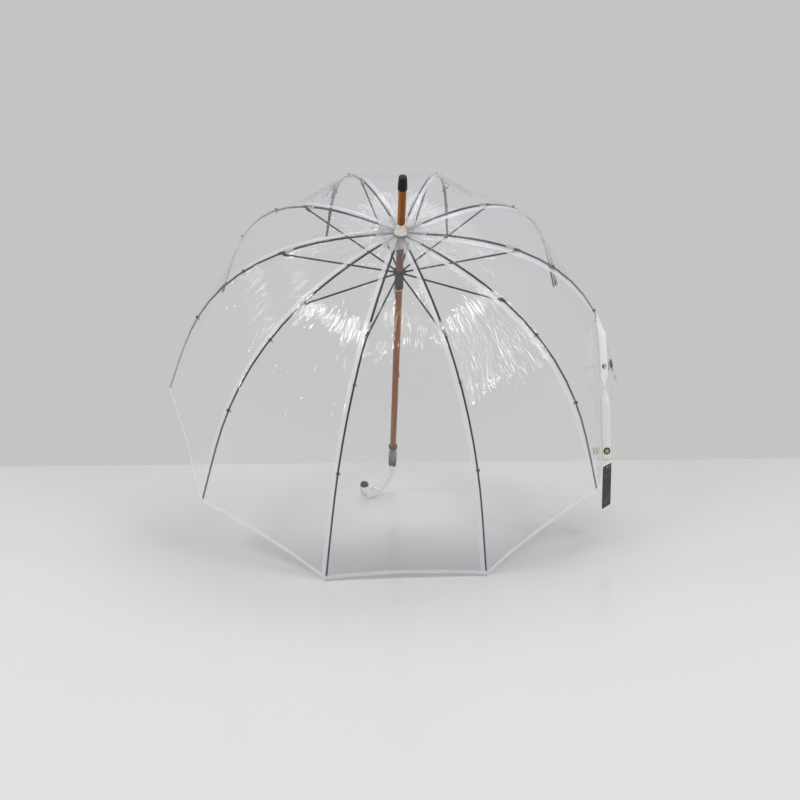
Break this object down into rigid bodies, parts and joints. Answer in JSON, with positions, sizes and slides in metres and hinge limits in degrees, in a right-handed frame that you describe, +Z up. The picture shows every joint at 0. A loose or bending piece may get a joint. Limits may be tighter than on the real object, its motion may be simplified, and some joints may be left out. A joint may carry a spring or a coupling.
{
  "type": "stick umbrella",
  "caption": "Open dome-shaped stick umbrella with a clear film canopy, a slim wooden shaft and a clear crook handle, standing on its rib tips and crook.",
  "frame": {"origin": "on the floor, under the middle of the object's box", "axes": "+Z up from the floor, -Y towards the crown of the canopy, the shaft leaning back in the YZ plane, +X along the widest extent"},
  "size_m": [0.8308, 0.6828, 0.6472],
  "materials": {
    "wood": "stained, satin varnish",
    "black_steel": "black coated steel",
    "black_plastic": "moulded, satin",
    "nickel": "plated, polished",
    "brass": "plated, worn",
    "smoked_plastic": "smoked, glossy",
    "clear_plastic": "clear acrylic, polished",
    "clear_film": "clear soft film, glossy",
    "white_film": "white soft film, satin",
    "card": "printed charcoal card",
    "grey_tape": "woven tape"
  },
  "bodies": {
    "frame": {"shaft": "wood", "ferrule_cap": "black_plastic", "canopy_cap": "nickel", "top_notch": "black_plastic", "hinge_wire": "nickel", "rosette": "white_film", "canopy": "clear_film", "handle_collar": "smoked_plastic", "handle_crook": "clear_plastic"},
    "slider": {"runner": "black_plastic", "runner_ring": "nickel"},
    "upper_01": {"rib_upper_01": "black_steel"},
    "lower_01": {"rib_lower_01": "black_steel", "rib_tip_01": "nickel"},
    "strut_01": {"stretcher_01": "black_steel"},
    "upper_02": {"rib_upper_02": "black_steel"},
    "lower_02": {"rib_lower_02": "black_steel", "rib_tip_02": "nickel"},
    "strut_02": {"stretcher_02": "black_steel"},
    "upper_03": {"rib_upper_03": "black_steel"},
    "lower_03": {"rib_lower_03": "black_steel", "rib_tip_03": "nickel"},
    "strut_03": {"stretcher_03": "black_steel"},
    "upper_04": {"rib_upper_04": "black_steel"},
    "lower_04": {"rib_lower_04": "black_steel", "rib_tip_04": "nickel", "label_tab": "grey_tape"},
    "strut_04": {"stretcher_04": "black_steel"},
    "upper_05": {"rib_upper_05": "black_steel"},
    "lower_05": {"rib_lower_05": "black_steel", "rib_tip_05": "nickel"},
    "strut_05": {"stretcher_05": "black_steel"},
    "upper_06": {"rib_upper_06": "black_steel"},
    "lower_06": {"rib_lower_06": "black_steel", "rib_tip_06": "nickel"},
    "strut_06": {"stretcher_06": "black_steel"},
    "upper_07": {"rib_upper_07": "black_steel"},
    "lower_07": {"rib_lower_07": "black_steel", "rib_tip_07": "nickel"},
    "strut_07": {"stretcher_07": "black_steel"},
    "upper_08": {"rib_upper_08": "black_steel"},
    "lower_08": {"rib_lower_08": "black_steel", "rib_tip_08": "nickel"},
    "strut_08": {"stretcher_08": "black_steel"},
    "upper_09": {"rib_upper_09": "black_steel"},
    "lower_09": {"rib_lower_09": "black_steel", "rib_tip_09": "nickel"},
    "strut_09": {"stretcher_09": "black_steel"},
    "upper_10": {"rib_upper_10": "black_steel"},
    "lower_10": {"rib_lower_10": "black_steel", "rib_tip_10": "nickel"},
    "strut_10": {"stretcher_10": "black_steel"},
    "strap": {"closing_strap": "white_film", "snap_socket": "brass", "snap_stud": "brass"},
    "tag": {"swing_tag": "card", "tag_loop": "clear_plastic"},
    "top_catch": {"top_catch": "brass"},
    "bottom_catch": {"bottom_catch": "brass"}
  },
  "joints": [
    {"name": "runner_slide", "type": "slide", "parent": "frame", "child": "slider", "axis": [-0.0435, 0.6746, -0.7369], "range_m": [0, 0.2695], "deforming": ["canopy", "top_catch", "bottom_catch"]},
    {"name": "rib_hinge_01", "type": "hinge", "parent": "frame", "child": "upper_01", "pos_m": [0.01344, -0.21451, 0.53434], "axis": [0.9637, -0.166, -0.2089], "range_deg": [0, 69.24]},
    {"name": "rib_flex_01", "type": "hinge", "parent": "upper_01", "child": "lower_01", "pos_m": [-0.03401, -0.31478, 0.39514], "axis": [0.9637, -0.166, -0.2089], "range_deg": [-32.2, 0]},
    {"name": "strut_pivot_01", "type": "hinge", "parent": "upper_01", "child": "strut_01", "pos_m": [-0.03372, -0.31095, 0.39343], "axis": [0.9637, -0.166, -0.2089], "range_deg": [-138.27, 0]},
    {"name": "rib_hinge_02", "type": "hinge", "parent": "frame", "child": "upper_02", "pos_m": [0.01929, -0.21413, 0.53434], "axis": [0.9344, 0.2884, 0.2089], "range_deg": [0, 69.24]},
    {"name": "rib_flex_02", "type": "hinge", "parent": "upper_02", "child": "lower_02", "pos_m": [0.07923, -0.30748, 0.39514], "axis": [0.9344, 0.2884, 0.2089], "range_deg": [-32.2, 0]},
    {"name": "strut_pivot_02", "type": "hinge", "parent": "upper_02", "child": "strut_02", "pos_m": [0.07845, -0.30372, 0.39343], "axis": [0.9344, 0.2884, 0.2089], "range_deg": [-138.27, 0]},
    {"name": "rib_hinge_03", "type": "hinge", "parent": "frame", "child": "upper_03", "pos_m": [0.02387, -0.21129, 0.53667], "axis": [0.5482, 0.6327, 0.5469], "range_deg": [0, 69.24]},
    {"name": "rib_flex_03", "type": "hinge", "parent": "upper_03", "child": "lower_03", "pos_m": [0.16768, -0.25252, 0.44023], "axis": [0.5482, 0.6327, 0.5469], "range_deg": [-32.2, 0]},
    {"name": "strut_pivot_03", "type": "hinge", "parent": "upper_03", "child": "strut_03", "pos_m": [0.16607, -0.24928, 0.43809], "axis": [0.5482, 0.6327, 0.5469], "range_deg": [-138.27, 0]},
    {"name": "rib_hinge_04", "type": "hinge", "parent": "frame", "child": "upper_04", "pos_m": [0.02542, -0.20707, 0.54045], "axis": [-0.0474, 0.7353, 0.676], "range_deg": [0, 69.24]},
    {"name": "rib_flex_04", "type": "hinge", "parent": "upper_04", "child": "lower_04", "pos_m": [0.19756, -0.17091, 0.51319], "axis": [-0.0474, 0.7353, 0.676], "range_deg": [-32.2, 0]},
    {"name": "strut_pivot_04", "type": "hinge", "parent": "upper_04", "child": "strut_04", "pos_m": [0.19566, -0.16844, 0.51036], "axis": [-0.0474, 0.7353, 0.676], "range_deg": [-138.27, 0]},
    {"name": "rib_hinge_05", "type": "hinge", "parent": "frame", "child": "upper_05", "pos_m": [0.02334, -0.20308, 0.54422], "axis": [-0.6249, 0.5571, 0.5469], "range_deg": [0, 69.24]},
    {"name": "rib_flex_05", "type": "hinge", "parent": "upper_05", "child": "lower_05", "pos_m": [0.15745, -0.0938, 0.58614], "axis": [-0.6249, 0.5571, 0.5469], "range_deg": [-32.2, 0]},
    {"name": "strut_pivot_05", "type": "hinge", "parent": "upper_05", "child": "strut_05", "pos_m": [0.15593, -0.09206, 0.58264], "axis": [-0.6249, 0.5571, 0.5469], "range_deg": [-138.27, 0]},
    {"name": "rib_hinge_06", "type": "hinge", "parent": "frame", "child": "upper_06", "pos_m": [0.01844, -0.20084, 0.54656], "axis": [-0.9637, 0.166, 0.2089], "range_deg": [0, 69.24]},
    {"name": "rib_flex_06", "type": "hinge", "parent": "upper_06", "child": "lower_06", "pos_m": [0.06267, -0.05066, 0.63123], "axis": [-0.9637, 0.166, 0.2089], "range_deg": [-32.2, 0]},
    {"name": "strut_pivot_06", "type": "hinge", "parent": "upper_06", "child": "strut_06", "pos_m": [0.06205, -0.04932, 0.6273], "axis": [-0.9637, 0.166, 0.2089], "range_deg": [-138.27, 0]},
    {"name": "rib_hinge_07", "type": "hinge", "parent": "frame", "child": "upper_07", "pos_m": [0.01258, -0.20122, 0.54656], "axis": [-0.9344, -0.2884, -0.2089], "range_deg": [0, 69.24]},
    {"name": "rib_flex_07", "type": "hinge", "parent": "upper_07", "child": "lower_07", "pos_m": [-0.05057, -0.05796, 0.63123], "axis": [-0.9344, -0.2884, -0.2089], "range_deg": [-32.2, 0]},
    {"name": "strut_pivot_07", "type": "hinge", "parent": "upper_07", "child": "strut_07", "pos_m": [-0.05013, -0.05656, 0.6273], "axis": [-0.9344, -0.2884, -0.2089], "range_deg": [-138.27, 0]},
    {"name": "rib_hinge_08", "type": "hinge", "parent": "frame", "child": "upper_08", "pos_m": [0.008, -0.20406, 0.54422], "axis": [-0.5482, -0.6327, -0.5469], "range_deg": [0, 69.24]},
    {"name": "rib_flex_08", "type": "hinge", "parent": "upper_08", "child": "lower_08", "pos_m": [-0.13902, -0.11292, 0.58614], "axis": [-0.5482, -0.6327, -0.5469], "range_deg": [-32.2, 0]},
    {"name": "strut_pivot_08", "type": "hinge", "parent": "upper_08", "child": "strut_08", "pos_m": [-0.13774, -0.11099, 0.58264], "axis": [-0.5482, -0.6327, -0.5469], "range_deg": [-138.27, 0]},
    {"name": "rib_hinge_09", "type": "hinge", "parent": "frame", "child": "upper_09", "pos_m": [0.00646, -0.20829, 0.54045], "axis": [0.0474, -0.7353, -0.676], "range_deg": [0, 69.24]},
    {"name": "rib_flex_09", "type": "hinge", "parent": "upper_09", "child": "lower_09", "pos_m": [-0.1689, -0.19453, 0.51319], "axis": [0.0474, -0.7353, -0.676], "range_deg": [-32.2, 0]},
    {"name": "strut_pivot_09", "type": "hinge", "parent": "upper_09", "child": "strut_09", "pos_m": [-0.16734, -0.19184, 0.51036], "axis": [0.0474, -0.7353, -0.676], "range_deg": [-138.27, 0]},
    {"name": "rib_hinge_10", "type": "hinge", "parent": "frame", "child": "upper_10", "pos_m": [0.00853, -0.21228, 0.53667], "axis": [0.6249, -0.5571, -0.5469], "range_deg": [0, 69.24]},
    {"name": "rib_flex_10", "type": "hinge", "parent": "upper_10", "child": "lower_10", "pos_m": [-0.12879, -0.27164, 0.44023], "axis": [0.6249, -0.5571, -0.5469], "range_deg": [-32.2, 0]},
    {"name": "strut_pivot_10", "type": "hinge", "parent": "upper_10", "child": "strut_10", "pos_m": [-0.12761, -0.26821, 0.43809], "axis": [0.6249, -0.5571, -0.5469], "range_deg": [-138.27, 0]},
    {"name": "strap_swing", "type": "hinge", "parent": "lower_04", "child": "strap", "pos_m": [0.35074, -0.0614, 0.40032], "axis": [0.8314, -0.5452, 0.1075], "range_deg": [0, 52.9]},
    {"name": "tag_swing", "type": "hinge", "parent": "strap", "child": "tag", "pos_m": [0.36891, -0.08486, 0.14741], "axis": [0.9918, 0.1279, 0], "range_deg": [-30, 30]},
    {"name": "top_catch_press", "type": "hinge", "parent": "frame", "child": "top_catch", "pos_m": [0.00516, -0.1129, 0.43884], "axis": [-0.2633, -0.7192, -0.6429], "range_deg": [-7, 0], "stiffness_Nm_per_rad": 0.5},
    {"name": "bottom_catch_press", "type": "hinge", "parent": "frame", "child": "bottom_catch", "pos_m": [0.00643, 0.01222, 0.29834], "axis": [0.2633, 0.7192, 0.6429], "range_deg": [0, 7], "stiffness_Nm_per_rad": 0.5}
  ],
  "couplings": [
    {"joint": "rib_hinge_01", "follows": "runner_slide", "rad_per_m": 4.4709},
    {"joint": "rib_flex_01", "follows": "runner_slide", "rad_per_m": -2.0724},
    {"joint": "strut_pivot_01", "follows": "runner_slide", "rad_per_m": -8.9418},
    {"joint": "rib_hinge_02", "follows": "runner_slide", "rad_per_m": 4.4709},
    {"joint": "rib_flex_02", "follows": "runner_slide", "rad_per_m": -2.0724},
    {"joint": "strut_pivot_02", "follows": "runner_slide", "rad_per_m": -8.9418},
    {"joint": "rib_hinge_03", "follows": "runner_slide", "rad_per_m": 4.4709},
    {"joint": "rib_flex_03", "follows": "runner_slide", "rad_per_m": -2.0724},
    {"joint": "strut_pivot_03", "follows": "runner_slide", "rad_per_m": -8.9418},
    {"joint": "rib_hinge_04", "follows": "runner_slide", "rad_per_m": 4.4709},
    {"joint": "rib_flex_04", "follows": "runner_slide", "rad_per_m": -2.0724},
    {"joint": "strut_pivot_04", "follows": "runner_slide", "rad_per_m": -8.9418},
    {"joint": "rib_hinge_05", "follows": "runner_slide", "rad_per_m": 4.4709},
    {"joint": "rib_flex_05", "follows": "runner_slide", "rad_per_m": -2.0724},
    {"joint": "strut_pivot_05", "follows": "runner_slide", "rad_per_m": -8.9418},
    {"joint": "rib_hinge_06", "follows": "runner_slide", "rad_per_m": 4.4709},
    {"joint": "rib_flex_06", "follows": "runner_slide", "rad_per_m": -2.0724},
    {"joint": "strut_pivot_06", "follows": "runner_slide", "rad_per_m": -8.9418},
    {"joint": "rib_hinge_07", "follows": "runner_slide", "rad_per_m": 4.4709},
    {"joint": "rib_flex_07", "follows": "runner_slide", "rad_per_m": -2.0724},
    {"joint": "strut_pivot_07", "follows": "runner_slide", "rad_per_m": -8.9418},
    {"joint": "rib_hinge_08", "follows": "runner_slide", "rad_per_m": 4.4709},
    {"joint": "rib_flex_08", "follows": "runner_slide", "rad_per_m": -2.0724},
    {"joint": "strut_pivot_08", "follows": "runner_slide", "rad_per_m": -8.9418},
    {"joint": "rib_hinge_09", "follows": "runner_slide", "rad_per_m": 4.4709},
    {"joint": "rib_flex_09", "follows": "runner_slide", "rad_per_m": -2.0724},
    {"joint": "strut_pivot_09", "follows": "runner_slide", "rad_per_m": -8.9418},
    {"joint": "rib_hinge_10", "follows": "runner_slide", "rad_per_m": 4.4709},
    {"joint": "rib_flex_10", "follows": "runner_slide", "rad_per_m": -2.0724},
    {"joint": "strut_pivot_10", "follows": "runner_slide", "rad_per_m": -8.9418},
    {"joint": "strap_swing", "follows": "runner_slide", "rad_per_m": 3.4127}
  ]
}
